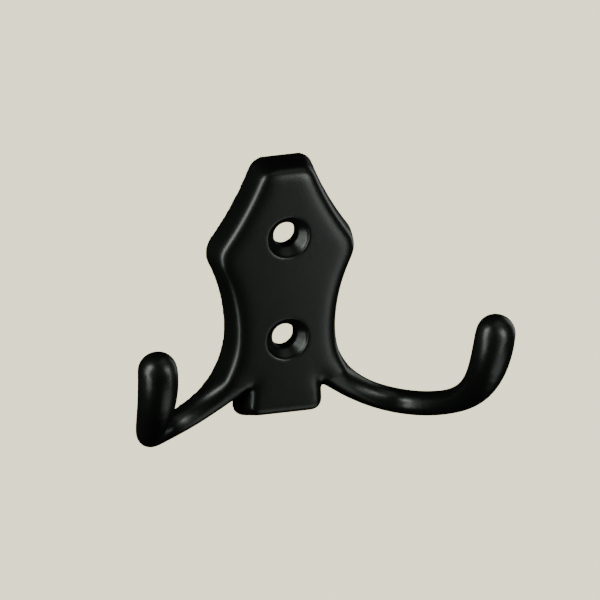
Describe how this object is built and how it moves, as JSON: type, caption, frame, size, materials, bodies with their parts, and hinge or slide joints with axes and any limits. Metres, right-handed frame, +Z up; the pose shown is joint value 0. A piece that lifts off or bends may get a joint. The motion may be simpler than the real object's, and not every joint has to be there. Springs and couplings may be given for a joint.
{
  "type": "wall hook",
  "caption": "Cast coat hook with a flared screw plate, a short tail tab and a pair of slim upswept arms that end in round bulbs.",
  "frame": {"origin": "on the wall, halfway between the two screw holes", "axes": "+Y into the wall, so the hook faces -Y; +Z up along the line of screw holes; +X to the right for someone facing the wall"},
  "size_m": [0.084, 0.0369, 0.0599],
  "materials": {
    "powder_coat": "satin black powder coat"
  },
  "bodies": {
    "root": {"double_hook": "powder_coat"}
  },
  "joints": []
}
